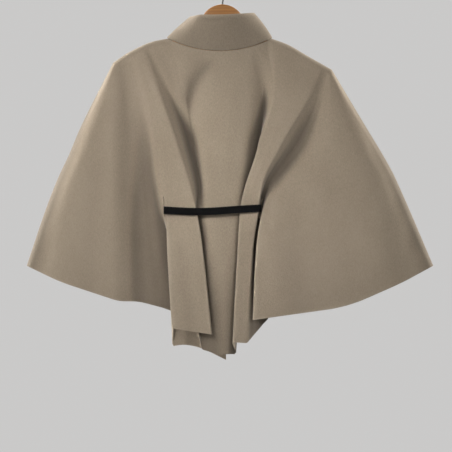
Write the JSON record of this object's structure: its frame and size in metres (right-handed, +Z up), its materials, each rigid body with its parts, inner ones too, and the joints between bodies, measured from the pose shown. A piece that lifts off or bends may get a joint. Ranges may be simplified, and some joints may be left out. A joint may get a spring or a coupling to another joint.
{
  "type": "belted wool cape on a wooden hanger",
  "caption": "Belted beige wool cape with a stand collar and deep back pleats, hanging on a wooden hanger.",
  "frame": {"origin": "inner top of the hanger's hook, where a rail carries it", "axes": "+X towards the wearer's right, +Y out of the garment's front, +Z up; the back faces -Y"},
  "size_m": [0.818, 0.1223, 0.7807],
  "materials": {
    "wool": "felted melton with a fine nap",
    "leather": "smooth, semi-matte",
    "wood": "varnished",
    "steel": "bright"
  },
  "bodies": {
    "root": {"back_panel": "wool", "front_panel_left": "wool", "front_panel_right": "wool", "stand_collar": "wool", "belt_strap": "leather", "belt_keeper": "leather", "belt_buckle_frame": "steel", "belt_buckle_prong": "steel", "hanger": "wood", "hanger_hook": "steel"}
  },
  "joints": []
}
